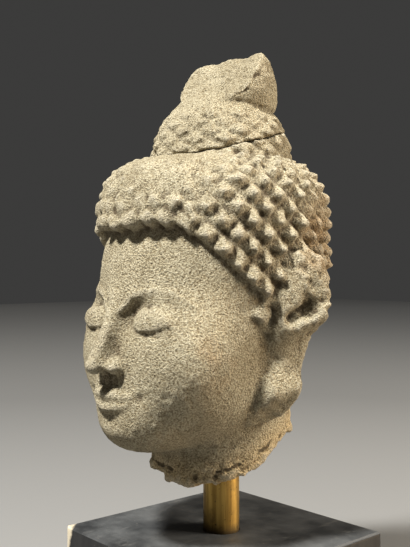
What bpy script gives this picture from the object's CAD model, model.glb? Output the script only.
# A weathered sandstone Buddha head with its topknot set back on, on a brass rod in a black wooden block.
# Sizes are in millimetres until a mesh is finished.
# Heights on the head are measured from the lowest edge of the broken neck.
import math

import bpy
import numpy as np
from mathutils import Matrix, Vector


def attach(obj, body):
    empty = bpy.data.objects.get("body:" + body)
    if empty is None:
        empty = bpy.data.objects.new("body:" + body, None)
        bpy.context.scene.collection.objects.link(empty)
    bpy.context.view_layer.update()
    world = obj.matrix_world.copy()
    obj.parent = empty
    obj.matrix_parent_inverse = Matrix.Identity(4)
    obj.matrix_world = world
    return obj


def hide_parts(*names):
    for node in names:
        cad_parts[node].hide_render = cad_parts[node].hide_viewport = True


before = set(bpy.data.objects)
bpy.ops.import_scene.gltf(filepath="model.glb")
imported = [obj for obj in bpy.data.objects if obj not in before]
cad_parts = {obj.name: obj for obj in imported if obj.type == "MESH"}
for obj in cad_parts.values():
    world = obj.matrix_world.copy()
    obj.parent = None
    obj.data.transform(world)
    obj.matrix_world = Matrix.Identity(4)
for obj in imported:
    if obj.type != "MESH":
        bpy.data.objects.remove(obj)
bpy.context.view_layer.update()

MM = 0.001
HEAD_LIFT = 77.0

# Stand
BLOCK_SIDE = 100.0
BLOCK_HEIGHT = 50.0
BLOCK_CUTS = 79
ARRIS = 1.0
ARRIS_DEPTH = 0.6
CHIP_DEPTH = 3.0
CHIP_RAGGED = 1.2
ROD_RADIUS = 8.0
ROD_LOW = 25.0
ROD_HIGH = 111.0
ROD_BEVEL = 0.8
ROD_HOLE_TOP = 34.3
ROD_HOLE_LOW = -40
FIT = 0.3

# Levels of the head
CHIN_Z = 17.0
HAIRLINE_Z = 104.8
NAPE_Z = 52.0
CROWN_Z = 136.0
FINIAL_Z = 182.0
BROW_Z = 77.5
NOSE_BASE_Z = CHIN_Z + (BROW_Z - CHIN_Z) / 2
MOUTH_Z = NOSE_BASE_Z - (NOSE_BASE_Z - CHIN_Z) / 3
EYE_Z = BROW_Z - 9
EYE_WIDTH = 20.0
EYE_X = 17.5
MOUTH_HALF = 14.5

# Masses of the head: centre, and half-width, half-depth and half-height
HEAD_CENTRE = np.array([0, -5, 76.0])
CRANIUM = ((0, -5, 91), (43.5, 49.5, 43))
MIDFACE = ((0, -15, 61), (38.5, 43.5, 44))
JAW = ((0, -19, 39), (34, 38.5, 24))
CHIN = ((0, -46, CHIN_Z + 10), (14, 13.5, 10.5))
CHEEK = ((21, -37.5, 54), (15.5, 15.5, 17))
NECK_RADIUS = 30.0

# Hair
CURLS_AROUND = 24
CURL_STEP = 5.4
CURL_HEIGHT = 5.0
CURL_DROOP = 0.18
HAIR_CENTRE = np.array([0, -4.5, 98.0])
HAIR_WIDTH = 45.0
HAIR_DEPTH = 51.0
HAIR_RISE = CROWN_Z - HAIR_CENTRE[2]
HAIR_FALL = 68.0
HAIR_SQUARENESS = 4.0
HAIR_SUNK = 0.78
HAIR_PROUD = 1.2
HAIRLINE_BEND = 34
HAIRLINE_ARCH = 1.6
WORN_SPOT = np.array([17, -41, 131.0])
WORN_SIDE = np.array([-27, -36, 126.0])

# Fringe: half its span and the width of a lump in degrees, and the rise from one row to the next
FRINGE_HALF = 38
FRINGE_LUMP = 9.4
FRINGE_ROW = 6.2

# Topknot and finial
KNOT_RADIUS = 30.0
KNOT_BASE_Z = 133.0
KNOT_RISE = 36.0
KNOT_FOOT = 20.0
KNOT_CURLS = 14
KNOT_ROWS = 16
KNOT_CURL_HEIGHT = 2.4
FINIAL_RADIUS = 22.0
FINIAL_BASE_Z = 159.0
FINIAL_SHIFT = (2.0, 2.2)
FINIAL_LEAN = 0.11
# The breaks of the finial: turn and tip in degrees of each, and a point of it
FINIAL_SLANT = (8, 50)
FINIAL_SLANT_AT = np.array([0, 0, FINIAL_Z - 5])
FINIAL_TOP = (215, 5)
FINIAL_TOP_AT = np.array([0, 0, FINIAL_Z])

# Ears
EAR_TOP_Z = 97.0
EAR_HEIGHT = 62.0
EAR_WIDTH = 26.0
EAR_FLARE = math.radians(17)
EAR_FRONT = (43.5, -9.5)
# The break of the lobe: turn and tip in degrees, and a point of it
LOBE_BREAK = (75, 130)
LOBE_BREAK_AT = np.array([42, -8.5, 36.5])

# Breaks
BREAK_DIRECTION = (0.66, 0.75)
REPAIR_Z = 136.0
REPAIR_CLIMB = 0.0052
REPAIR_SHIFT = 20
REPAIR_GAP = 0.45
REPAIR_SIDE = 2.4 * KNOT_RADIUS
NECK_CLIMB = 0.0095
NECK_SHIFT = 14
NECK_SIDE = 150
CRACK_RISE = 4.4
CRACK_HALF = 0.5
CRACK_DEPTH = 0.6
CREASE_IN = 1.3
CREASE_HALF = 0.8
FAR_ABOVE = FINIAL_Z + 40
FAR_BELOW = -60

# Mesh finish
HEAD_VOXEL = 0.92
KNOT_VOXEL = 0.6
SEAM_ROUNDS = 24
PROUD_ROUNDS = 6
HOLLOW_ROUNDS = 10
RIM_LOW = 1
RIM_HIGH = 15

# Noise
CHANCE_STEPS = (127.1, 311.7, 74.7)
CHANCE_SCALE = 43758.5453
# Amount, size and shift of each layer
NECK_CHIPS = ((1.4, 9, 0), (0.8, 4, 17), (0.4, 2, 40))
SWELL = ((0.16, 14, 0), (0.1, 6, 50))
BROKEN = ((0.4, 6, 300), (0.55, 3.4, 200), (0.4, 1.9, 260))


# Meshes

def points_of(piece, what="co"):
    flat = np.empty(len(piece.data.vertices) * 3)
    piece.data.vertices.foreach_get(what, flat)
    return flat.reshape(-1, 3)


def normals_of(piece):
    return points_of(piece, "normal")


def move_points(piece, points):
    piece.data.vertices.foreach_set("co", np.asarray(points, dtype=float).ravel())
    piece.data.update()


def activate(piece):
    bpy.ops.object.select_all(action="DESELECT")
    piece.select_set(True)
    bpy.context.view_layer.objects.active = piece


def named(name):
    piece = bpy.context.object
    piece.name = name
    piece.data.name = name
    return piece


def globe(name, columns, rows):
    """A unit ball of rings, with the turn from the front and the dip from the top of each of its points."""
    bpy.ops.mesh.primitive_uv_sphere_add(segments=columns, ring_count=rows, radius=1)
    piece = named(name)
    p = points_of(piece)
    dip = np.arccos(np.clip(p[:, 2], -1, 1))
    turn = np.arctan2(p[:, 0], -p[:, 1])
    return piece, turn, dip


def fine_cube(name, cuts, size=2):
    bpy.ops.mesh.primitive_cube_add(size=size)
    piece = named(name)
    bpy.ops.object.mode_set(mode="EDIT")
    bpy.ops.mesh.subdivide(number_cuts=cuts)
    bpy.ops.object.mode_set(mode="OBJECT")
    return piece


def bar(radius, low, high):
    middle = (0, 0, (low + high) / 2)
    bpy.ops.mesh.primitive_cylinder_add(vertices=96, radius=radius, depth=high - low, location=middle)
    bpy.ops.object.transform_apply()
    return named("bar")


def apply(piece, kind, **settings):
    activate(piece)
    modifier = piece.modifiers.new(kind.lower(), kind)
    for key, value in settings.items():
        setattr(modifier, key, value)
    bpy.ops.object.modifier_apply(modifier=modifier.name)


def combine(piece, other, operation):
    apply(piece, "BOOLEAN", operation=operation, solver="MANIFOLD", object=other)
    bpy.data.objects.remove(other)


def copied(piece, name):
    twin = piece.copy()
    twin.data = piece.data.copy()
    twin.name = name
    bpy.context.collection.objects.link(twin)
    return twin


# Repeatable noise

def chance(i, j, k=0):
    """A value from 0 to 1 that is always the same for the same whole numbers."""
    a, b, c = CHANCE_STEPS
    s = np.sin(i * a + j * b + k * c) * CHANCE_SCALE
    return s - np.floor(s)


def noise(p, size):
    """Smooth noise from -1 to 1 with bumps of about the given size."""
    q = p / size
    base = np.floor(q)
    f = q - base
    f = f * f * f * (f * (f * 6 - 15) + 10)
    total = 0.0
    for i in (0, 1):
        wx = f[:, 0] if i else 1 - f[:, 0]
        for j in (0, 1):
            wy = f[:, 1] if j else 1 - f[:, 1]
            for k in (0, 1):
                wz = f[:, 2] if k else 1 - f[:, 2]
                value = chance(base[:, 0] + i, base[:, 1] + j, base[:, 2] + k)
                total = total + wx * wy * wz * value
    return 2 * total - 1


def layered(p, layers):
    return sum(amount * noise(p + shift, size) for amount, size, shift in layers)


def ripple(x, y):
    """Slow waves over a break."""
    return (0.55 * np.sin(0.42 * x + 0.23 * y) + 0.45 * np.sin(0.31 * y - 0.55 * x + 1.3)
            + 0.35 * np.sin(0.9 * y + 0.7 * x))


def smoothstep(x, low, high):
    t = np.clip((x - low) / (high - low), 0, 1)
    return t * t * (3 - 2 * t)


# Distance fields, negative inside

def ellipsoid(p, mass):
    at, size = (np.asarray(part, dtype=float) for part in mass)
    q = (p - at) / size
    near = np.linalg.norm(q, axis=1)
    slope = np.maximum(np.linalg.norm(q / size, axis=1), 1e-6)
    return near * (near - 1) / slope


def taper(p, start, end, start_radius, end_radius):
    along = end - start
    t = np.clip((p - start) @ along / (along @ along), 0, 1)
    nearest = start + t[:, None] * along
    return np.linalg.norm(p - nearest, axis=1) - (start_radius + (end_radius - start_radius) * t)


def roll(p, stops):
    least = None
    for (start, start_radius), (end, end_radius) in zip(stops, stops[1:]):
        d = taper(p, start, end, start_radius, end_radius)
        least = d if least is None else np.minimum(least, d)
    return least


def join(a, b, width):
    near = np.maximum(width - np.abs(a - b), 0) / width
    return np.minimum(a, b) - near * near * width / 4


def carve(a, b, width):
    return -join(-a, b, width)


def masses(p):
    d = join(ellipsoid(p, CRANIUM), ellipsoid(p, MIDFACE), 14)
    d = join(d, ellipsoid(p, JAW), 12)
    d = join(d, ellipsoid(p, CHEEK), 17)
    return join(d, ellipsoid(p, CHIN), 15)


def neck(p):
    low = np.array([0, -2, -20.0])
    high = np.array([0, 3, 60.0])
    return taper(p, low, high, NECK_RADIUS + 0.8, NECK_RADIUS - 1)


def on_form(form, x, z, proud, radius=0.0):
    """A point on or proud of the front of a form, at a width and a height, with a radius to go with it."""
    inside, outside = HEAD_CENTRE[1], -90.0
    for _ in range(30):
        middle = (inside + outside) / 2
        if form(np.array([[x, middle, z]]))[0] < 0:
            inside = middle
        else:
            outside = middle
    return np.array([x, inside - proud, z]), radius


def on_face(x, z, proud, radius=0.0):
    return on_form(masses, x, z, proud, radius)


def face_mass(x, z, proud, size):
    return on_face(x, z, proud)[0], size


# Eyes: a socket under the brow, and lids that are nearly closed
SOCKET = face_mass(EYE_X + 0.5, EYE_Z + 1.5, 5.2, (14.5, 9, 9.2))
LIDS = face_mass(EYE_X, EYE_Z - 0.8, -9.2, (EYE_WIDTH / 2 + 3, 10.4, 8.4))


def eyes(p):
    d = carve(masses(p), ellipsoid(p, SOCKET), 4)
    return join(d, ellipsoid(p, LIDS), 1.2)


LID_EDGE = [
    on_form(eyes, EYE_X - EYE_WIDTH / 2, EYE_Z - 2, 0, 0.5),
    on_form(eyes, EYE_X - 5, EYE_Z - 4.2, 0.1, 0.9),
    on_form(eyes, EYE_X + 2, EYE_Z - 4.8, 0.1, 1.0),
    on_form(eyes, EYE_X + 7, EYE_Z - 3.6, 0.1, 0.8),
    on_form(eyes, EYE_X + EYE_WIDTH / 2 + 2, EYE_Z - 1, 0, 0.5),
]
UPPER_LID = [
    on_form(eyes, EYE_X - 8, EYE_Z - 1.6, -0.5, 0.8),
    on_form(eyes, EYE_X - 4, EYE_Z - 2.9, -0.4, 1.0),
    on_form(eyes, EYE_X + 2, EYE_Z - 3.2, -0.4, 1.0),
    on_form(eyes, EYE_X + 10, EYE_Z - 0.4, -0.5, 0.8),
]
LOWER_LID = [
    on_form(eyes, EYE_X - 8, EYE_Z - 5.2, -0.3, 0.8),
    on_form(eyes, EYE_X, EYE_Z - 7.2, -0.2, 1.2),
    on_form(eyes, EYE_X + 9.5, EYE_Z - 4.2, -0.3, 0.8),
]
LID_CREASE = [
    on_form(eyes, EYE_X - 9, EYE_Z + 2.4, 0.1, 0.5),
    on_form(eyes, EYE_X - 1, EYE_Z + 6, 0.1, 0.8),
    on_form(eyes, EYE_X + 7, EYE_Z + 4.6, 0.1, 0.7),
    on_form(eyes, EYE_X + 12, EYE_Z + 1.6, 0.1, 0.5),
]

# Brow, nose and mouth
BROW = [
    on_face(4.6, BROW_Z - 4.6, -0.2, 1.3),
    on_face(9, BROW_Z + 0.6, -0.4, 1.5),
    on_face(16, BROW_Z + 3.2, -0.5, 1.5),
    on_face(24, BROW_Z + 2.4, -0.6, 1.4),
    on_face(32, BROW_Z - 3, -0.8, 0.9),
]
NOSE = [
    on_face(0, BROW_Z - 1, -2.2, 3.2),
    on_face(0, EYE_Z, 0.8, 3.0),
    on_face(0, NOSE_BASE_Z + 9, 5.6, 3.5),
    on_face(0, NOSE_BASE_Z + 4.2, 8.2, 3.9),
]
NOSE_WING = face_mass(5.4, NOSE_BASE_Z + 3.4, 1.6, (3.5, 4.8, 3.3))
NOSTRIL = face_mass(3.4, NOSE_BASE_Z - 0.6, 5, (1.5, 2.4, 1.0))
PHILTRUM = [on_face(0, NOSE_BASE_Z - 1, 1.4, 1.2), on_face(0, MOUTH_Z + 5, 2.2, 1.3)]
UPPER_LIP = [
    on_face(0, MOUTH_Z + 1.7, 0.9, 1.7),
    on_face(4, MOUTH_Z + 2.3, 0.9, 1.9),
    on_face(9.5, MOUTH_Z + 1.6, 0.2, 1.5),
    on_face(MOUTH_HALF, MOUTH_Z + 1.4, -0.9, 0.8),
]
LOWER_LIP = [
    on_face(0, MOUTH_Z - 2.5, 0.2, 2.4),
    on_face(6, MOUTH_Z - 2.0, -0.1, 2.0),
    on_face(MOUTH_HALF - 1, MOUTH_Z + 0.6, -1.0, 0.8),
]
LIP_PARTING = [
    on_face(0, MOUTH_Z - 0.2, 2.2, 0.7),
    on_face(5, MOUTH_Z + 0.3, 1.8, 0.7),
    on_face(MOUTH_HALF, MOUTH_Z + 1.0, 0.3, 0.6),
]
MOUTH_CORNER = face_mass(MOUTH_HALF + 1.2, MOUTH_Z + 1.4, 1.2, (2, 2.4, 2))
UNDER_LIP = face_mass(0, MOUTH_Z - 7.6, 3.0, (9, 3.6, 2.6))


def stone_distance(p):
    """The carved head and neck without hair and ears. Both halves are alike, so x is never negative."""
    d = join(eyes(p), roll(p, BROW), 1.4)
    d = join(d, roll(p, UPPER_LID), 0.8)
    d = join(d, roll(p, LOWER_LID), 0.8)
    d = carve(d, roll(p, LID_EDGE), 0.5)
    d = carve(d, roll(p, LID_CREASE), 0.6)
    d = join(d, roll(p, NOSE), 3.5)
    d = join(d, ellipsoid(p, NOSE_WING), 1.8)
    d = carve(d, ellipsoid(p, NOSTRIL), 1)
    d = carve(d, roll(p, PHILTRUM), 2)
    d = carve(d, ellipsoid(p, UNDER_LIP), 4)
    d = join(d, roll(p, UPPER_LIP), 1.4)
    d = join(d, roll(p, LOWER_LIP), 1.4)
    d = carve(d, roll(p, LIP_PARTING), 0.6)
    d = carve(d, ellipsoid(p, MOUTH_CORNER), 2)
    return join(d, neck(p), 5)


def heading(turn, dip):
    """The direction at a turn from the front and a dip from the top."""
    return np.stack([np.sin(dip) * np.sin(turn), -np.sin(dip) * np.cos(turn), np.cos(dip)], axis=1)


# Head, hair, ears and topknot as separate closed meshes

def form_reach(centre, direction, form, furthest):
    """How far a form reaches from a centre in each direction."""
    r = np.full(len(direction), furthest)
    for _ in range(40):
        p = centre + direction * r[:, None]
        p[:, 0] = np.abs(p[:, 0])
        r = np.maximum(r - 0.8 * form(p), 12)
    return r


def head_core():
    piece, turn, dip = globe("stone_head", 300, 220)
    direction = heading(turn, dip)
    r = form_reach(HEAD_CENTRE, direction, stone_distance, 112.0)
    move_points(piece, HEAD_CENTRE + direction * r[:, None])
    return piece


def curl(across, down, droop):
    """Height from 0 to 1 of four-sided peaks on a staggered lattice, and the column and row of each peak."""
    s = np.floor((across + down) / 2)
    t = np.floor((across - down) / 2)
    column = s + t + 1
    row = s - t
    da = np.abs(across - column)
    db = down - row
    room = np.maximum(1 - da, 1e-6)
    lean = droop * room
    reach = np.where(db < lean, room + lean, room - lean)
    height = np.clip(room * (1 - np.abs(db - lean) / reach), 0, 1)
    return height, column, row


def hair_reach(direction):
    """How far the bare hair cap reaches: square above its centre, round below it."""
    level = np.hypot(direction[:, 0] / HAIR_WIDTH, direction[:, 1] / HAIR_DEPTH)
    up = direction[:, 2] > 0
    power = np.where(up, HAIR_SQUARENESS, 2.0)
    rise = np.where(up, HAIR_RISE, HAIR_FALL)
    return (level ** power + (np.abs(direction[:, 2]) / rise) ** power) ** (-1 / power)


def hairline(turn):
    """Height of the hair's lower edge, from an arch over the forehead down to the nape."""
    degrees = np.abs(np.degrees(turn))
    brow = HAIRLINE_Z + HAIRLINE_ARCH * np.sin(np.pi * np.minimum(degrees, HAIRLINE_BEND) / 40)
    past = np.maximum(degrees - HAIRLINE_BEND, 0)
    return np.maximum(brow - 0.74 * past - 0.002 * past ** 2, NAPE_Z)


def hair_wear(p):
    """The share of the curls' height that is left: little on the worn spot, more on the worn side."""
    spot = np.linalg.norm(p - WORN_SPOT, axis=1)
    side = np.linalg.norm(p - WORN_SIDE, axis=1)
    return (1 - 0.95 * (1 - smoothstep(spot, 12, 31))) * (1 - 0.6 * (1 - smoothstep(side, 18, 40)))


def meridian():
    """Dips from the top of the hair to its bottom, and how far down the hair's surface each lies."""
    dips = np.linspace(0, np.pi, 721)
    side = np.stack([np.sin(dips) * 0.7, np.sin(dips) * 0.7, np.cos(dips)], axis=1)
    side /= np.linalg.norm(side, axis=1)[:, None]
    line = side * hair_reach(side)[:, None]
    return dips, np.concatenate([[0], np.cumsum(np.linalg.norm(np.diff(line, axis=0), axis=1))])


def fringe_bumps(turn, p):
    """Two rows of worn round curls over the forehead, and how far each point lies between two curls."""
    bumps = np.zeros(len(turn))
    for row, tall in ((1, 2.6), (0, 3.4)):
        along = np.degrees(turn) / FRINGE_LUMP + 0.5 * row + 0.4 * noise(p * (1, 1, 0.4) + 60, 15)
        aside = 2 * (along - np.round(along))
        up = (p[:, 2] - hairline(turn) - 2.2 - FRINGE_ROW * row) / 3.8
        size = tall * (0.55 + 0.8 * chance(np.round(along) + 3, row))
        bumps = np.maximum(bumps, size * np.sqrt(np.clip(1 - aside ** 2 - up ** 2, 0, 1)))
    return bumps, aside ** 2


def under_ear(seat):
    """Whether a curl would sit under an ear, where none is carved."""
    beside = (seat[:, 2] < EAR_TOP_Z - 6) & (np.abs(seat[:, 0]) > 30)
    return beside & (seat[:, 1] > EAR_FRONT[1] + 5) & (seat[:, 1] < EAR_FRONT[1] + EAR_WIDTH - 2)


def hair_cap():
    """The curls on their cap. Where there is no hair the cap sinks into the head."""
    columns = 2 * CURLS_AROUND
    piece, turn, dip = globe("hair", columns * 7, 210)
    dips, fall = meridian()
    across = turn / (2 * np.pi) * columns
    down = np.interp(dip, dips, fall) / CURL_STEP
    height, column, row = curl(across, down, CURL_DROOP)
    column_turn = column / columns * 2 * np.pi
    column_turn = (column_turn + np.pi) % (2 * np.pi) - np.pi
    middle = heading(column_turn, np.interp(row * CURL_STEP, fall, dips))
    seat = HAIR_CENTRE + middle * hair_reach(middle)[:, None]
    direction = heading(turn, dip)
    r = np.maximum(hair_reach(direction), form_reach(HAIR_CENTRE, direction, masses, 90.0) + HAIR_PROUD)
    p = HAIR_CENTRE + direction * r[:, None]
    fringe = np.abs(np.degrees(turn)) < FRINGE_HALF
    bumps, between = fringe_bumps(turn, p)
    forehead = p[:, 2] < hairline(turn) - 1.2 + 1.6 * between
    uncurled = (seat[:, 2] < hairline(column_turn)) | under_ear(seat)
    bald = np.where(fringe, forehead, uncurled)
    rounded = height - 0.5 * np.maximum(height - 0.8, 0)
    tall = CURL_HEIGHT * (0.8 + 0.4 * chance(column % columns + 7, row))
    wear = hair_wear(p)
    lift = rounded * tall * wear + 1.4 * (1 - wear)
    low = 1 - smoothstep(p[:, 2] - hairline(turn), 6, 14)
    lift = np.where(fringe, np.maximum(lift * (1 - 0.8 * low), bumps), lift)
    # The last curl before the ear is worn low
    temple = (1 - smoothstep(p[:, 2], 73, 82)) * (1 - smoothstep(np.abs(turn), 1.5, 1.8))
    lift = lift * (1 - 0.55 * temple)
    r = np.where(bald, r * HAIR_SUNK, r + lift)
    p = HAIR_CENTRE + direction * r[:, None]
    p[:, 2] -= np.where(bald, 0, 0.15 * lift * np.sin(dip))
    move_points(piece, p)
    return piece


def knot():
    """The topknot with a foot that reaches down into the head."""
    columns = 2 * KNOT_CURLS
    piece, turn, dip = globe("topknot", columns * 8, KNOT_ROWS * 8)
    down = dip / np.pi * KNOT_ROWS
    up = np.clip(1 - (down - 1) / (KNOT_ROWS - 2), 0, 1)
    low = KNOT_BASE_Z - KNOT_FOOT
    z = low + up * (KNOT_FOOT + KNOT_RISE - 4)
    above = np.clip((z - KNOT_BASE_Z) / KNOT_RISE, 0, 1)
    radius = KNOT_RADIUS * np.sqrt(1 - above ** 2)
    height, column, row = curl(turn / (2 * np.pi) * columns, down, 0.25)
    rounded = height - 0.7 * np.maximum(height - 0.55, 0)
    worn = np.where(row > 3, 1, 0.15) * (0.7 + 0.6 * chance(column % columns, row))
    radius = radius + rounded * KNOT_CURL_HEIGHT * worn
    radius = radius * np.clip(down, 0, 1) * np.clip(KNOT_ROWS - down, 0, 1)
    move_points(piece, np.stack([radius * np.sin(turn), -radius * np.cos(turn), z], axis=1))
    return piece


def knife(turn, tip, through, side=90, cuts=70):
    """A block with one ragged face that passes through a point and faces a heading."""
    piece = fine_cube("knife", cuts)
    p = points_of(piece)
    x = p[:, 0] * side / 2
    y = p[:, 1] * side / 2
    far = 40.0
    flat = np.stack([x, y, np.zeros_like(x)], axis=1)
    rough = 0.5 * ripple(x, y) + 0.8 * noise(flat + 31, 6) + 0.3 * noise(flat, 2.2)
    z = (p[:, 2] + 1) / 2 * (far - rough) + rough
    c, s = math.cos(math.radians(tip)), math.sin(math.radians(tip))
    y, z = y * c - z * s, y * s + z * c
    c, s = math.cos(math.radians(turn)), math.sin(math.radians(turn))
    x, y = x * c - y * s, x * s + y * c
    move_points(piece, np.stack([x, y, z], axis=1) + through)
    return piece


def knife_side(turn, tip):
    """The way that a knife's block lies from its ragged face."""
    turn, tip = math.radians(turn), math.radians(tip)
    return math.sin(tip) * math.sin(turn), -math.sin(tip) * math.cos(turn), math.cos(tip)


def finial():
    """The stump of the finial, turned to a profile, leaning, and broken off in two slants."""
    profile = np.array([
        (0, FINIAL_Z + 3),
        (FINIAL_RADIUS - 6, FINIAL_Z + 3),
        (FINIAL_RADIUS - 2.5, FINIAL_BASE_Z + 21),
        (FINIAL_RADIUS - 0.5, FINIAL_BASE_Z + 14),
        (FINIAL_RADIUS, FINIAL_BASE_Z + 7),
        (FINIAL_RADIUS - 1, FINIAL_BASE_Z + 1.5),
        (FINIAL_RADIUS - 3.5, FINIAL_BASE_Z - 1),
        (0, FINIAL_BASE_Z - 4),
    ])
    piece, turn, dip = globe("finial", 128, 96)
    length = np.concatenate([[0], np.cumsum(np.hypot(*np.diff(profile, axis=0).T))])
    along = dip / np.pi * length[-1]
    radius = np.interp(along, length, profile[:, 0])
    z = np.interp(along, length, profile[:, 1])
    x = radius * np.sin(turn)
    y = -radius * np.cos(turn)
    z = z - FINIAL_LEAN * to_break(x, y)
    move_points(piece, np.stack([x + FINIAL_SHIFT[0], y + FINIAL_SHIFT[1], z], axis=1))
    combine(piece, knife(*FINIAL_SLANT, FINIAL_SLANT_AT), "DIFFERENCE")
    combine(piece, knife(*FINIAL_TOP, FINIAL_TOP_AT), "DIFFERENCE")
    return piece


def drawn_out(name, outline, centre, relief, side):
    """An ear: a flattened ball drawn out to a smooth closed outline, with a relief on its outer face."""
    dense = []
    count = len(outline)
    for i in range(count):
        a, b, c, d = (outline[(i + k) % count] for k in (-1, 0, 1, 2))
        for t in np.linspace(0, 1, 12, endpoint=False):
            dense.append(0.5 * (2 * b + (c - a) * t + (2 * a - 5 * b + 4 * c - d) * t ** 2
                                + (3 * b - a - 3 * c + d) * t ** 3))
    dense = np.array(dense) - centre
    angle = np.arctan2(dense[:, 1], dense[:, 0])
    order = np.argsort(angle)
    piece, turn, dip = globe(name, 220, 130)
    edge = np.interp(turn, angle[order], np.hypot(*dense.T)[order], period=2 * np.pi)
    share = np.sin(dip) ** 0.8
    across = centre[0] + share * edge * np.cos(turn)
    up = centre[1] + share * edge * np.sin(turn)
    crown = np.sqrt(np.clip(1 - share ** 8, 0, 1))
    face, depth = relief(across, up, (1 - share) * edge)
    out = np.where(dip < np.pi / 2, face * crown, -depth * crown) + np.minimum(face, 0) * (1 - crown)
    x = EAR_FRONT[0] + across * math.sin(EAR_FLARE) + out * math.cos(EAR_FLARE)
    y = EAR_FRONT[1] + across * math.cos(EAR_FLARE) - out * math.sin(EAR_FLARE)
    move_points(piece, np.stack([x * side, y, up], axis=1))
    if signed_volume(piece) < 0:
        flip(piece)
    return piece


def ridge(across, up, start, end, width):
    """A soft line from 0 to 1 between two points."""
    start, end = np.array(start, dtype=float), np.array(end, dtype=float)
    along = end - start
    t = np.clip(((across - start[0]) * along[0] + (up - start[1]) * along[1]) / (along @ along), 0, 1)
    away = np.hypot(across - start[0] - t * along[0], up - start[1] - t * along[1])
    return np.exp(-(away / width) ** 2)


def broken_ear():
    """The head's own left ear: its rim is knocked off flat, and its lobe is broken short."""
    outline = np.array([
        (13.5, 97), (19.5, 92), (21.5, 83), (22, 74), (19, 66), (15.5, 57), (12.5, 48), (11.5, 36),
        (4, 24), (-8, 24), (-6, 46), (-2, 60), (-1, 74), (0.5, 88), (6, 95),
    ])

    def relief(across, up, inset):
        merge = smoothstep(across, -9 + 2 * smoothstep(up, 42, 54), -1 + 7 * smoothstep(up, 42, 54))
        sunk = 5 * (1 - smoothstep(up, 50, 84)) * (1 - merge)
        flap = 4.4 * smoothstep(up - 0.35 * across, 53, 62) - 1.8
        lobe = 1.6 * np.exp(-((up - 40) / 6) ** 2)
        notch = 2.8 * ridge(across, up, (4.2, 69), (12.5, 74), 2.7)
        notch = notch + 1.3 * ridge(across, up, (3.4, 70), (12, 76), 1.3)
        lip = ridge(across, up, (-0.5, 69), (1.5, 66), 2.1)
        lip = lip + ridge(across, up, (1.5, 66), (8.5, 65.2), 2.4)
        lip = lip + ridge(across, up, (8.5, 65.2), (17, 70), 2.4)
        lip = lip + ridge(across, up, (17, 70), (20.5, 74), 2.2)
        edge = 0.8 * np.exp(-((inset - 1.6) / 1.4) ** 2) * smoothstep(up, 70, 76)
        slope = (0.18 * across + 1.2) * smoothstep(up, 62, 70)
        face = flap + lobe - sunk - notch + 1.3 * np.minimum(lip, 1) + edge + slope
        return face, 7 + 9 * (1 - smoothstep(up, 48, 70))

    piece = drawn_out("ear", outline, np.array([6, 60.0]), relief, 1)
    combine(piece, knife(*LOBE_BREAK, LOBE_BREAK_AT, 60, 50), "DIFFERENCE")
    return piece


def whole_ear():
    """The other ear, worn but with its rim and lobe still there."""
    outline = np.array([
        (2, 0.52), (2.5, 0.78), (9, 0.97), (18, 0.98), (25, 0.82), (25, 0.62),
        (19.5, 0.42), (15.5, 0.22), (12.5, 0.03), (6.5, 0.05), (3, 0.2),
    ]) * (1, EAR_HEIGHT) + (0, EAR_TOP_Z - EAR_HEIGHT)

    def relief(across, up, inset):
        share = (up - EAR_TOP_Z + EAR_HEIGHT) / EAR_HEIGHT
        high = smoothstep(share, 0.3, 0.5)
        rim = 1.5 * np.exp(-((inset - 2.6) / 1.7) ** 2) * (0.35 + 0.65 * high)
        groove = -1.5 * np.exp(-((inset - 6.0) / 1.5) ** 2) * high
        hollow = -3.4 * np.exp(-(((across - 9.5) / 4.2) ** 2 + ((share - 0.6) / 0.13) ** 2) ** 2)
        slit = -2.2 * ridge(across, up, (9, EAR_TOP_Z - 38), (9.5, EAR_TOP_Z - 54), 1.2)
        return 2.2 + rim + groove + hollow + slit, 8 + 8 * (1 - smoothstep(up, 48, 70))

    return drawn_out("ear", outline, np.array([11.5, EAR_TOP_Z - 0.48 * EAR_HEIGHT]), relief, -1)


def signed_volume(piece):
    p = points_of(piece)
    mesh = piece.data
    mesh.calc_loop_triangles()
    tri = np.empty(len(mesh.loop_triangles) * 3, dtype=int)
    mesh.loop_triangles.foreach_get("vertices", tri)
    a, b, c = (p[tri.reshape(-1, 3)[:, k]] for k in range(3))
    return float(np.einsum("ij,ij->i", a, np.cross(b, c)).sum() / 6)


def flip(piece):
    activate(piece)
    bpy.ops.object.mode_set(mode="EDIT")
    bpy.ops.mesh.select_all(action="SELECT")
    bpy.ops.mesh.flip_normals()
    bpy.ops.object.mode_set(mode="OBJECT")


# Breaks

def to_break(x, y):
    """Distance from the axis in the direction that the breaks climb."""
    return x * BREAK_DIRECTION[0] + y * BREAK_DIRECTION[1]


def repair_height(x, y):
    """Height of the break under the topknot."""
    climb = REPAIR_CLIMB * np.maximum(to_break(x, y) + REPAIR_SHIFT, 0) ** 2
    return REPAIR_Z + climb + 0.3 * ripple(x, y) + np.maximum(np.hypot(x, y) - KNOT_RADIUS - 1, 0)


def topknot_height(x, y):
    return repair_height(x, y) + REPAIR_GAP


def neck_rise(x, y):
    """Height of the neck's break without its chips."""
    return NECK_CLIMB * (to_break(x, y) + NECK_SHIFT) ** 2


def neck_height(x, y):
    flat = np.stack([x, y, np.zeros_like(x)], axis=1)
    return neck_rise(x, y) + 0.5 * ripple(x, y) + layered(flat, NECK_CHIPS)


def broken_block(side, far, height, cuts=90):
    """A block from a ragged face of the given height to a flat one far above or below it."""
    piece = fine_cube("break", cuts)
    p = points_of(piece)
    x = p[:, 0] * side / 2
    y = p[:, 1] * side / 2
    away = (p[:, 2] + 1) / 2 if far > 0 else (1 - p[:, 2]) / 2
    z = height(x, y) * (1 - away) + far * away
    move_points(piece, np.stack([x, y, z], axis=1))
    return piece


# Weathered stone surface

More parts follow.
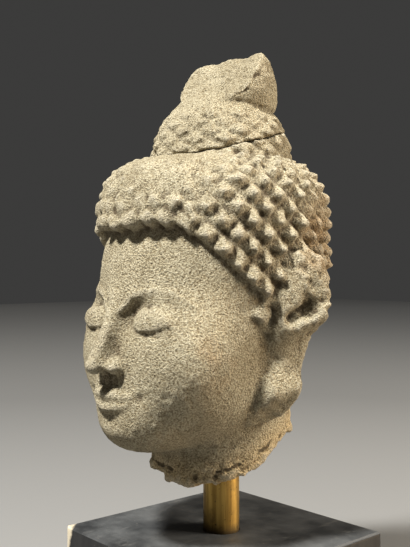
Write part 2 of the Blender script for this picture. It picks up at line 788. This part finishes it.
def neighbours(piece):
    edges = np.empty(len(piece.data.edges) * 2, dtype=int)
    piece.data.edges.foreach_get("vertices", edges)
    return edges.reshape(-1, 2)


def spread(values, edges, count, rounds):
    """Each point's value averaged with its neighbours' a number of times."""
    values = np.array(values, dtype=float)
    many = np.bincount(edges.ravel(), minlength=count).astype(float)
    for _ in range(rounds):
        if values.ndim == 1:
            total = np.bincount(edges[:, 0], values[edges[:, 1]], count)
            total += np.bincount(edges[:, 1], values[edges[:, 0]], count)
            values = 0.5 * values + 0.5 * total / many
        else:
            values = np.stack([spread(column, edges, count, 1) for column in values.T], axis=1)
    return values


def roughness_of(p):
    """How rough the stone is: the broken ear, the neck's edge, the finial and the hair, but not the face."""
    ear_zone = smoothstep(p[:, 0], 40, 44) * smoothstep(p[:, 1], -8, -3) * (1 - smoothstep(p[:, 2], 94, 99))
    ear_zone = 1.5 * ear_zone * smoothstep(p[:, 2], 66, 72)
    above = p[:, 2] - neck_rise(p[:, 0], p[:, 1])
    neck_zone = 2 - smoothstep(above, 3, 12) - smoothstep(above, 2, 5)
    finial_zone = 0.4 * smoothstep(p[:, 2], FINIAL_BASE_Z - 4, FINIAL_BASE_Z)
    hair_zone = 0.75 * smoothstep(p[:, 2] - hairline(np.arctan2(p[:, 0], -p[:, 1])), -2, 4)
    hair_zone = hair_zone * (1 - 0.5 * smoothstep(p[:, 2], KNOT_BASE_Z - 3, KNOT_BASE_Z))
    return np.maximum.reduce([ear_zone, neck_zone, finial_zone, hair_zone])


def neck_crack(p):
    """A thin ragged crack round the front of the neck, a little above the break."""
    line = neck_rise(p[:, 0], p[:, 1]) + CRACK_RISE
    line = line + 1.3 * noise(p + 70, 9) + 0.6 * noise(p + 11, 3)
    side = smoothstep(p[:, 0] - p[:, 1], 5, 25)
    patchy = smoothstep(noise(p + 150, 12), -0.5, 0.1)
    return np.exp(-((p[:, 2] - line) / CRACK_HALF) ** 2) * side * patchy


def finial_crease(p, normal):
    """A dark crease on the round side of the finial, along the edge of its slanting break."""
    facing = np.array(knife_side(*FINIAL_SLANT))
    away = (p - FINIAL_SLANT_AT) @ facing
    off = 1 - smoothstep(normal @ facing, 0.7, 0.88)
    high = smoothstep(p[:, 2], FINIAL_BASE_Z + 2, FINIAL_BASE_Z + 4)
    high = high * (1 - smoothstep(p[:, 2], FINIAL_Z - 13, FINIAL_Z - 5))
    patchy = 0.15 + 0.55 * smoothstep(noise(p + 170, 6), -0.5, 0.3)
    ragged = 0.7 * noise(p + 190, 4)
    return np.exp(-((away + CREASE_IN + ragged) / CREASE_HALF) ** 2) * off * high * patchy


def note(piece, name, values):
    """Keeps a value from 0 to 1 for each point, for the finish to read."""
    layer = piece.data.attributes.new(name, "FLOAT", "POINT")
    layer.data.foreach_set("value", np.clip(values, 0, 1).astype(np.float32))


def remesh(piece, voxel):
    apply(piece, "REMESH", mode="VOXEL", voxel_size=voxel, adaptivity=0.0)


def ear_seam(p):
    """Where the strap of the broken ear runs into the jaw, from 0 to 1."""
    seam = smoothstep(p[:, 0], 29, 34) * smoothstep(p[:, 2], 40, 46) * (1 - smoothstep(p[:, 2], 58, 66))
    return seam * smoothstep(p[:, 1], -32, -22) * (1 - smoothstep(p[:, 1], -6, 2))


def weather(piece):
    """Wears, swells, pits, chips and cracks the surface, and notes its hollows and the rim of the neck."""
    edges = neighbours(piece)
    p = points_of(piece)
    count = len(p)
    p = spread(p, edges, count, 1)
    seam = ear_seam(p)[:, None]
    p = p * (1 - seam) + seam * spread(p, edges, count, SEAM_ROUNDS)
    move_points(piece, p)
    normal = normals_of(piece)
    proud = np.einsum("ij,ij->i", p - spread(p, edges, count, PROUD_ROUNDS), normal)
    swell = layered(p, SWELL)
    pits = np.minimum(noise(p + 90, 2.6), 0) * 0.22 + 0.14 * noise(p + 20, 1.6)
    chips = -2.2 * np.maximum(noise(p + 130, 7) - 0.25, 0) * smoothstep(proud, 0.15, 0.6)
    broken = roughness_of(p) * layered(p, BROKEN)
    crack = np.maximum(neck_crack(p), finial_crease(p, normal))
    p = p + normal * (swell + pits + chips + broken - CRACK_DEPTH * crack)[:, None]
    move_points(piece, p)
    normal = normals_of(piece)
    wide = spread(p, edges, count, HOLLOW_ROUNDS)
    hollow = np.einsum("ij,ij->i", wide - p, normal)
    note(piece, "hollow", 0.5 + 0.6 * hollow + 0.4 * crack)
    above = p[:, 2] - neck_height(p[:, 0], p[:, 1])
    note(piece, "rim", 1 - smoothstep(above, RIM_LOW, RIM_HIGH))


def settle(piece, lift):
    """Lifts a finished mesh to its place on the stand, in metres."""
    p = points_of(piece)
    p[:, 2] += lift
    move_points(piece, p * MM)
    activate(piece)
    bpy.ops.object.shade_smooth()


topknot = knot()
combine(topknot, finial(), "UNION")

stone_head = head_core()
combine(stone_head, hair_cap(), "UNION")
combine(stone_head, broken_ear(), "UNION")
combine(stone_head, whole_ear(), "UNION")
combine(stone_head, copied(topknot, "knot_twin"), "UNION")
combine(stone_head, broken_block(REPAIR_SIDE, FAR_ABOVE, repair_height), "DIFFERENCE")
combine(stone_head, broken_block(NECK_SIDE, FAR_BELOW, neck_height), "DIFFERENCE")
combine(stone_head, bar(ROD_RADIUS + FIT, ROD_HOLE_LOW, ROD_HOLE_TOP), "DIFFERENCE")
remesh(stone_head, HEAD_VOXEL)
weather(stone_head)
settle(stone_head, HEAD_LIFT)
stone_head.name = "head_carved"

combine(topknot, broken_block(REPAIR_SIDE, FAR_ABOVE, topknot_height), "INTERSECT")
remesh(topknot, KNOT_VOXEL)
weather(topknot)
settle(topknot, HEAD_LIFT)
topknot.name = "topknot_carved"


# Rod and block

def turned_rod():
    piece = bar(ROD_RADIUS, ROD_LOW, ROD_HIGH)
    piece.name = "rod_turned"
    apply(piece, "BEVEL", width=ROD_BEVEL, segments=3, limit_method="ANGLE")
    settle(piece, 0)
    bpy.ops.object.shade_smooth_by_angle(angle=math.radians(40))
    return piece


def eased(near):
    """How far a face draws back this near to an edge."""
    return np.maximum(0, ARRIS - near) ** 2 * ARRIS_DEPTH


def painted_block():
    """The block with soft edges, one chipped upright edge and a hole for the rod."""
    piece = fine_cube("block_painted", BLOCK_CUTS, 1)
    p = points_of(piece) * (BLOCK_SIDE, BLOCK_SIDE, BLOCK_HEIGHT)
    p[:, 2] += BLOCK_HEIGHT / 2
    half = BLOCK_SIDE / 2
    deep = CHIP_DEPTH + CHIP_RAGGED * noise(p * (0, 0, 1) + 5, 9)
    chip = np.maximum(0, deep - (p[:, 0] + half) - (p[:, 1] + half))
    p[:, 0] += chip / 2
    p[:, 1] += chip / 2
    inset = np.minimum(half - np.abs(p[:, 0]), half - np.abs(p[:, 1]))
    for axis in (0, 1):
        end = np.minimum(BLOCK_HEIGHT - p[:, 2], p[:, 2])
        near = np.minimum(half - np.abs(p[:, 1 - axis]), end)
        on_side = np.abs(p[:, axis]) > half - 1e-6
        p[:, axis] -= np.where(on_side, np.sign(p[:, axis]) * eased(near), 0)
    p[:, 2] -= np.where(p[:, 2] > BLOCK_HEIGHT - 1e-6, eased(inset), 0)
    move_points(piece, p)
    combine(piece, bar(ROD_RADIUS + FIT, BLOCK_HEIGHT - ROD_LOW - FIT, BLOCK_HEIGHT + 10), "DIFFERENCE")
    settle(piece, 0)
    bpy.ops.object.shade_smooth_by_angle(angle=math.radians(35))
    return piece


rod = turned_rod()
block = painted_block()


# Materials

STONE_DEEP = (0.355, 0.302, 0.196)
STONE_LIGHT = (0.495, 0.434, 0.3)
STONE_PATCH = (0.575, 0.517, 0.37)
STONE_OCHRE = (0.42, 0.26, 0.12)
STONE_RIM = (0.76, 0.59, 0.34)
STONE_FLECK = (0.68, 0.62, 0.5)
STONE_PIT = (0.13, 0.1, 0.06)
STONE_HOLLOW = (0.085, 0.06, 0.034)
STONE_EDGE = (0.62, 0.56, 0.43)
GRAIN_DARK = (0.47, 0.42, 0.34)
GRAIN_PALE = (1.06, 1.06, 1.05)
BRASS_DEEP = (0.24, 0.145, 0.035)
BRASS_LIGHT = (0.52, 0.345, 0.095)
BRASS_CLOUD = (0.12, 0.08, 0.04)
BRASS_SPOT = (0.05, 0.035, 0.02)
BRASS_FOOT = (0.045, 0.035, 0.024)
PAINT_DEEP = (0.006, 0.006, 0.006)
PAINT_LIGHT = (0.017, 0.016, 0.015)
PAINT_TOP_DEEP = (0.022, 0.0228, 0.0232)
PAINT_TOP_LIGHT = (0.074, 0.0755, 0.0745)
PAINT_SCUFF = (0.13, 0.125, 0.115)
PAINT_SPECK = (0.22, 0.2, 0.17)
BARE_WOOD = (0.5, 0.43, 0.31)
FLOOR_NEAR = (0.17, 0.168, 0.162)
FLOOR_FAR = (0.52, 0.515, 0.5)


class Nodes:
    """Short calls for building a shader."""

    def __init__(self, name):
        self.material = bpy.data.materials.new(name)
        self.material.use_nodes = True
        self.tree = self.material.node_tree
        self.shader = self.tree.nodes["Principled BSDF"]
        self.place = self.add("ShaderNodeTexCoord").outputs["Object"]

    def add(self, kind):
        return self.tree.nodes.new(kind)

    def wire(self, source, target):
        self.tree.links.new(source, target)

    def noise(self, scale, detail=4.0, rough=0.55, stretch=None, shift=(0, 0, 0)):
        node = self.add("ShaderNodeTexNoise")
        node.inputs["Scale"].default_value = scale
        node.inputs["Detail"].default_value = detail
        node.inputs["Roughness"].default_value = rough
        move = self.add("ShaderNodeMapping")
        move.inputs["Scale"].default_value = stretch or (1, 1, 1)
        move.inputs["Location"].default_value = shift
        self.wire(self.place, move.inputs["Vector"])
        self.wire(move.outputs["Vector"], node.inputs["Vector"])
        return node.outputs["Fac"]

    def cells(self, scale):
        node = self.add("ShaderNodeTexVoronoi")
        node.inputs["Scale"].default_value = scale
        self.wire(self.place, node.inputs["Vector"])
        return node.outputs["Distance"]

    def span(self, value, low, high, to_low=0.0, to_high=1.0):
        node = self.add("ShaderNodeMapRange")
        node.inputs["From Min"].default_value = low
        node.inputs["From Max"].default_value = high
        node.inputs["To Min"].default_value = to_low
        node.inputs["To Max"].default_value = to_high
        self.wire(value, node.inputs["Value"])
        return node.outputs["Result"]

    def maths(self, a, b, how="ADD"):
        node = self.add("ShaderNodeMath")
        node.operation = how
        for socket, value in zip(node.inputs, (a, b)):
            if isinstance(value, (int, float)):
                socket.default_value = value
            else:
                self.wire(value, socket)
        return node.outputs[0]

    def placed(self, group, **values):
        """A node group on this material's own coordinates, with its own values."""
        node = self.add("ShaderNodeGroup")
        node.node_tree = group
        self.wire(self.place, node.inputs["Place"])
        for name, value in values.items():
            node.inputs[name.replace("_", " ")].default_value = value
        return node.outputs

    def blend(self, share, a, b, how="MIX"):
        node = self.add("ShaderNodeMix")
        node.data_type = "RGBA"
        node.blend_type = how
        for socket, value in zip((node.inputs[0], node.inputs[6], node.inputs[7]), (share, a, b)):
            if isinstance(value, (int, float)):
                socket.default_value = value
            elif isinstance(value, tuple):
                socket.default_value = (*value, 1)
            else:
                self.wire(value, socket)
        return node.outputs[2]

    def attribute(self, name):
        node = self.add("ShaderNodeAttribute")
        node.attribute_name = name
        return node.outputs["Fac"]

    def place_of(self, axis):
        node = self.add("ShaderNodeSeparateXYZ")
        self.wire(self.place, node.inputs[0])
        return node.outputs[axis]

    def bump(self, value, strength, distance):
        node = self.add("ShaderNodeBump")
        node.inputs["Strength"].default_value = strength
        node.inputs["Distance"].default_value = distance
        self.wire(value, node.inputs["Height"])
        self.wire(node.outputs["Normal"], self.shader.inputs["Normal"])


def handling_wear():
    """Broad patches and fine specks, the wear that the brass and the paint share."""
    group = bpy.data.node_groups.new("handling_wear", "ShaderNodeTree")
    group.interface.new_socket("Place", in_out="INPUT", socket_type="NodeSocketVector")
    for name in ("patch scale", "patch detail", "speck scale"):
        group.interface.new_socket(name, in_out="INPUT", socket_type="NodeSocketFloat")
    for name in ("patches", "specks"):
        group.interface.new_socket(name, in_out="OUTPUT", socket_type="NodeSocketFloat")
    given = group.nodes.new("NodeGroupInput").outputs
    result = group.nodes.new("NodeGroupOutput").inputs
    patches = group.nodes.new("ShaderNodeTexNoise")
    specks = group.nodes.new("ShaderNodeTexNoise")
    patches.inputs["Roughness"].default_value = 0.6
    specks.inputs["Detail"].default_value = 2
    specks.inputs["Roughness"].default_value = 0.5
    for noise_node in (patches, specks):
        group.links.new(given["Place"], noise_node.inputs["Vector"])
    group.links.new(given["patch scale"], patches.inputs["Scale"])
    group.links.new(given["patch detail"], patches.inputs["Detail"])
    group.links.new(given["speck scale"], specks.inputs["Scale"])
    group.links.new(patches.outputs["Fac"], result["patches"])
    group.links.new(specks.outputs["Fac"], result["specks"])
    return group


WEAR = handling_wear()


def sandstone():
    n = Nodes("sandstone_weathered")
    broad = n.noise(28, 5, 0.6)
    patch = n.noise(75, 5, 0.65, shift=(3, 1, 7))
    grain = n.noise(1350, 2, 0.65)
    fine = n.noise(2700, 2, 0.6)
    stain = n.noise(20, 4, 0.6, shift=(9, 4, 2))
    pit = n.cells(620)
    colour = n.blend(n.span(broad, 0.36, 0.64), STONE_DEEP, STONE_LIGHT)
    colour = n.blend(n.span(patch, 0.45, 0.72, 0, 0.6), colour, STONE_PATCH)
    # Ochre stains keep to the head's own left side
    ochre = n.maths(n.span(stain, 0.55, 0.7, 0, 0.65), n.span(n.place_of("X"), 0.022, 0.04), "MULTIPLY")
    colour = n.blend(ochre, colour, STONE_OCHRE)
    colour = n.blend(n.span(n.attribute("rim"), 0, 1, 0, 0.8), colour, STONE_RIM)
    tint = n.blend(n.span(grain, 0.36, 0.6), GRAIN_DARK, GRAIN_PALE)
    colour = n.blend(1.0, colour, tint, "MULTIPLY")
    colour = n.blend(n.span(pit, 0.24, 0.1, 0, 0.6), colour, STONE_PIT)
    colour = n.blend(n.span(fine, 0.56, 0.72, 0, 0.35), colour, STONE_FLECK)
    hollow = n.attribute("hollow")
    colour = n.blend(n.span(hollow, 0.525, 0.76, 0, 0.9), colour, STONE_HOLLOW)
    colour = n.blend(n.span(hollow, 0.46, 0.15, 0, 0.45), colour, STONE_EDGE)
    n.wire(colour, n.shader.inputs["Base Color"])
    n.shader.inputs["Roughness"].default_value = 0.93
    n.shader.inputs["Specular IOR Level"].default_value = 0.2
    relief = n.maths(n.maths(grain, 1.2, "MULTIPLY"), n.maths(fine, 0.4, "MULTIPLY"))
    relief = n.maths(relief, n.span(pit, 0.0, 0.4, 0, 0.5))
    n.bump(relief, 1.0, 0.0015)
    return n.material


def aged_brass():
    n = Nodes("brass_aged")
    streak = n.noise(420, 4, 0.6, stretch=(1, 1, 0.05))
    wear = n.placed(WEAR, patch_scale=120, patch_detail=4, speck_scale=600)
    cloud = wear["patches"]
    colour = n.blend(n.span(streak, 0.35, 0.65), BRASS_DEEP, BRASS_LIGHT)
    colour = n.blend(n.span(cloud, 0.5, 0.72, 0, 0.7), colour, BRASS_CLOUD)
    colour = n.blend(n.span(wear["specks"], 0.66, 0.74, 0, 0.8), colour, BRASS_SPOT)
    # Dirt gathers where the rod meets the block
    foot = n.span(n.place_of("Z"), 0.0545, 0.0505, 0, 0.85)
    colour = n.blend(foot, colour, BRASS_FOOT)
    n.wire(colour, n.shader.inputs["Base Color"])
    n.shader.inputs["Metallic"].default_value = 0.9
    rough = n.maths(n.span(cloud, 0.3, 0.7, 0.42, 0.62), n.span(foot, 0, 1, 0, 0.25))
    n.wire(rough, n.shader.inputs["Roughness"])
    n.bump(n.maths(streak, cloud), 0.12, 0.0002)
    return n.material


def painted_wood():
    n = Nodes("wood_black_paint")
    grain = n.noise(260, 5, 0.6, stretch=(1, 1, 0.06))
    wear = n.placed(WEAR, patch_scale=45, patch_detail=5, speck_scale=900)
    cloud = wear["patches"]
    scuff = n.noise(160, 6, 0.7, stretch=(1, 0.35, 1), shift=(2, 5, 1))
    facing = n.add("ShaderNodeNewGeometry").outputs["Normal"]
    split = n.add("ShaderNodeSeparateXYZ")
    n.wire(facing, split.inputs[0])
    top = n.span(split.outputs["Z"], 0.5, 0.9)
    side_colour = n.blend(n.span(grain, 0.4, 0.65), PAINT_DEEP, PAINT_LIGHT)
    top_colour = n.blend(n.span(cloud, 0.35, 0.68), PAINT_TOP_DEEP, PAINT_TOP_LIGHT)
    top_colour = n.blend(n.span(scuff, 0.58, 0.72, 0, 0.6), top_colour, PAINT_SCUFF)
    colour = n.blend(top, side_colour, top_colour)
    colour = n.blend(n.span(wear["specks"], 0.69, 0.76, 0, 0.6), colour, PAINT_SPECK)
    # Bare wood shows at the top of the chipped edge
    ragged = n.maths(n.noise(300, 3), 0.004, "MULTIPLY")
    corner = n.maths(n.maths(n.place_of("X"), n.place_of("Y")), ragged)
    corner = n.maths(corner, n.maths(n.place_of("Z"), -0.3, "MULTIPLY"))
    colour = n.blend(n.span(corner, -0.106, -0.1075), colour, BARE_WOOD)
    n.wire(colour, n.shader.inputs["Base Color"])
    n.wire(n.span(cloud, 0.3, 0.7, 0.42, 0.68), n.shader.inputs["Roughness"])
    n.bump(n.maths(grain, n.maths(scuff, 0.4, "MULTIPLY")), 0.3, 0.0004)
    return n.material


stone_finish = sandstone()
finishes = {
    stone_head: (stone_finish, "sandstone", "stone_head"),
    topknot: (stone_finish, "sandstone", "topknot"),
    rod: (aged_brass(), "brass", "brass_rod"),
    block: (painted_wood(), "black_wood", "base_block"),
}
for piece, (finish, slot, node) in finishes.items():
    piece.data.materials.clear()
    piece.data.materials.append(finish)
    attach(piece, "root")
    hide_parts(node)


# Floor, lights and camera

FLOOR_SIDE = 6
VIEW_RIGHT = np.array([0.6626, 0.749, 0])
VIEW_AHEAD = np.array([-0.749, 0.6626, 0])
UP = np.array([0, 0, 1.0])
AIM = np.array([0, 0, 0.16])
CAMERA_AT = (0.2675, -0.2463, 0.167)
CAMERA_TURN = math.radians(48.5)
CAMERA_TIP = math.radians(90 - 0.52)
CAMERA_LENS = 53.84
CAMERA_SENSOR = 36
CAMERA_NEAR = 0.01
WORLD_COLOUR = (0.9, 0.89, 0.87, 1)
WORLD_STRENGTH = 0.05

bpy.ops.mesh.primitive_plane_add(size=FLOOR_SIDE, location=(0, 0, 0))
floor = named("floor")
pale = Nodes("pale_floor")
distance = pale.add("ShaderNodeVectorMath")
distance.operation = "LENGTH"
pale.wire(pale.place, distance.inputs[0])
tone = pale.blend(pale.span(distance.outputs["Value"], 0.7, 3.0), FLOOR_NEAR, FLOOR_FAR)
pale.wire(tone, pale.shader.inputs["Base Color"])
pale.shader.inputs["Roughness"].default_value = 0.9
floor.data.materials.append(pale.material)


def lamp(name, right, ahead, up, size, power, colour):
    """A square lamp that faces the head, placed as the camera sees it."""
    spot = bpy.data.lights.new(name, "AREA")
    spot.size = size
    spot.energy = power
    spot.color = colour
    holder = bpy.data.objects.new(name, spot)
    bpy.context.collection.objects.link(holder)
    at = AIM + right * VIEW_RIGHT + ahead * VIEW_AHEAD + up * UP
    holder.location = at
    holder.rotation_euler = Vector(AIM - at).to_track_quat("-Z", "Y").to_euler()


lamp("key", -0.48, -0.5, 0.98, 0.14, 47, (1.0, 0.99, 0.96))
lamp("side", 0.95, -0.1, 0.62, 0.45, 19, (1.0, 0.94, 0.84))
lamp("warm", 0.9, -0.1, 0.0, 0.3, 4, (1.0, 0.7, 0.4))

world = bpy.data.worlds.new("studio")
bpy.context.scene.world = world
world.use_nodes = True
background = world.node_tree.nodes["Background"]
background.inputs["Color"].default_value = WORLD_COLOUR
background.inputs["Strength"].default_value = WORLD_STRENGTH

bpy.context.scene.view_settings.view_transform = "Standard"

eye = bpy.data.cameras.new("camera")
eye.lens = CAMERA_LENS
eye.sensor_width = CAMERA_SENSOR
eye.clip_start = CAMERA_NEAR
camera = bpy.data.objects.new("camera", eye)
bpy.context.collection.objects.link(camera)
camera.location = CAMERA_AT
camera.rotation_euler = (CAMERA_TIP, 0, CAMERA_TURN)
bpy.context.scene.camera = camera
